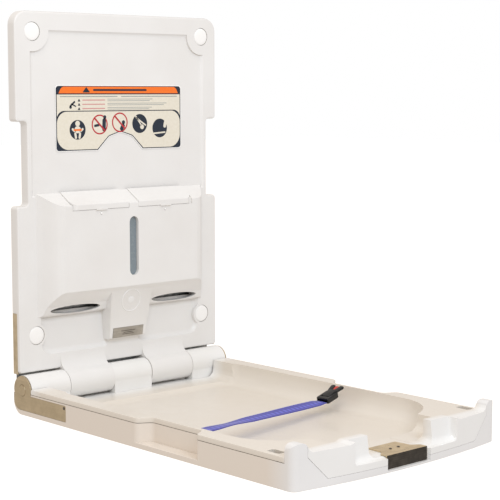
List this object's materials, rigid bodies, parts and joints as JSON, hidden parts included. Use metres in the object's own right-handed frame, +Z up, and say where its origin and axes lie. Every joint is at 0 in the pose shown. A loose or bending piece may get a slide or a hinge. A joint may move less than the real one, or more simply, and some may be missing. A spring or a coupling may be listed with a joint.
{
  "type": "changing table",
  "caption": "Wall-mounted fold-down changing table with a hollowed bed on a full-width hinge, a safety strap and a lidded liner dispenser.",
  "frame": {"origin": "on the wall plane, centred, 1 mm above the rim of the open bed", "axes": "+X to the right of a person facing the wall, +Y into the wall, +Z up; the bed lies open along -Y"},
  "size_m": [0.561, 0.8872, 0.861],
  "materials": {
    "wall_shell": "fine grained moulded polyethylene, cool light grey-white",
    "bed_shell": "fine grained moulded polyethylene, warm off-white",
    "cap": "smooth white",
    "hinge_steel": "brushed, warm reflections",
    "zinc_steel": "zinc plated, satin",
    "label": "printed sheet with a dark border, one orange bar and plain round pictograms",
    "window": "smoky translucent strip",
    "nylon": "dark, satin",
    "webbing": "woven dark blue polypropylene webbing",
    "buckle": "black acetal",
    "buckle_cam": "red acetal"
  },
  "bodies": {
    "wall": {"back_panel": "zinc_steel", "wall_shell": "wall_shell", "bolt_cap_top_left": "cap", "bolt_cap_top_right": "cap", "bolt_cap_bottom_left": "cap", "bolt_cap_bottom_right": "cap", "wall_bolt_top_left": "zinc_steel", "wall_bolt_top_right": "zinc_steel", "wall_bolt_bottom_left": "zinc_steel", "wall_bolt_bottom_right": "zinc_steel", "label_plate": "label", "liner_window": "window", "name_plate": "hinge_steel", "lid_pin_left": "zinc_steel", "lid_pin_right": "zinc_steel", "lid_catch_left": "cap", "lid_catch_right": "cap", "wall_bracket_left": "hinge_steel", "wall_bracket_right": "hinge_steel", "hinge_pin_head_left": "hinge_steel", "hinge_pin_head_right": "hinge_steel", "hinge_shaft": "zinc_steel"},
    "bed": {"bed_tray": "bed_shell", "bed_outer_shell": "bed_shell", "bed_hinge_plate_left": "hinge_steel", "bed_hinge_plate_right": "hinge_steel", "handle_plate": "hinge_steel", "handle_screw_left": "zinc_steel", "handle_screw_right": "zinc_steel", "hinge_damper": "nylon", "hinge_bush_left": "nylon", "hinge_bush_right": "nylon", "strap_webbing": "webbing", "strap_anchor": "nylon", "buckle_body": "buckle"},
    "lid_left": {"lid_left": "wall_shell"},
    "lid_right": {"lid_right": "wall_shell"},
    "buckle_lever": {"buckle_lever": "buckle", "buckle_cam": "buckle_cam"}
  },
  "joints": [
    {"name": "bed_hinge", "type": "hinge", "parent": "wall", "child": "bed", "pos_m": [0, -0.033, -0.007], "axis": [-1, 0, 0], "range_deg": [0, 90]},
    {"name": "lid_left_hinge", "type": "hinge", "parent": "wall", "child": "lid_left", "pos_m": [-0.0915, -0.031, 0.4065], "axis": [-1, 0, 0], "range_deg": [0, 90]},
    {"name": "lid_right_hinge", "type": "hinge", "parent": "wall", "child": "lid_right", "pos_m": [0.0915, -0.031, 0.4065], "axis": [-1, 0, 0], "range_deg": [0, 90]},
    {"name": "buckle_lever_hinge", "type": "hinge", "parent": "bed", "child": "buckle_lever", "pos_m": [0.17784, -0.49397, -0.01577], "axis": [-0.1357, 0.9907, 0], "range_deg": [0, 6], "stiffness_Nm_per_rad": 0.05, "springref_deg": -5.73}
  ]
}
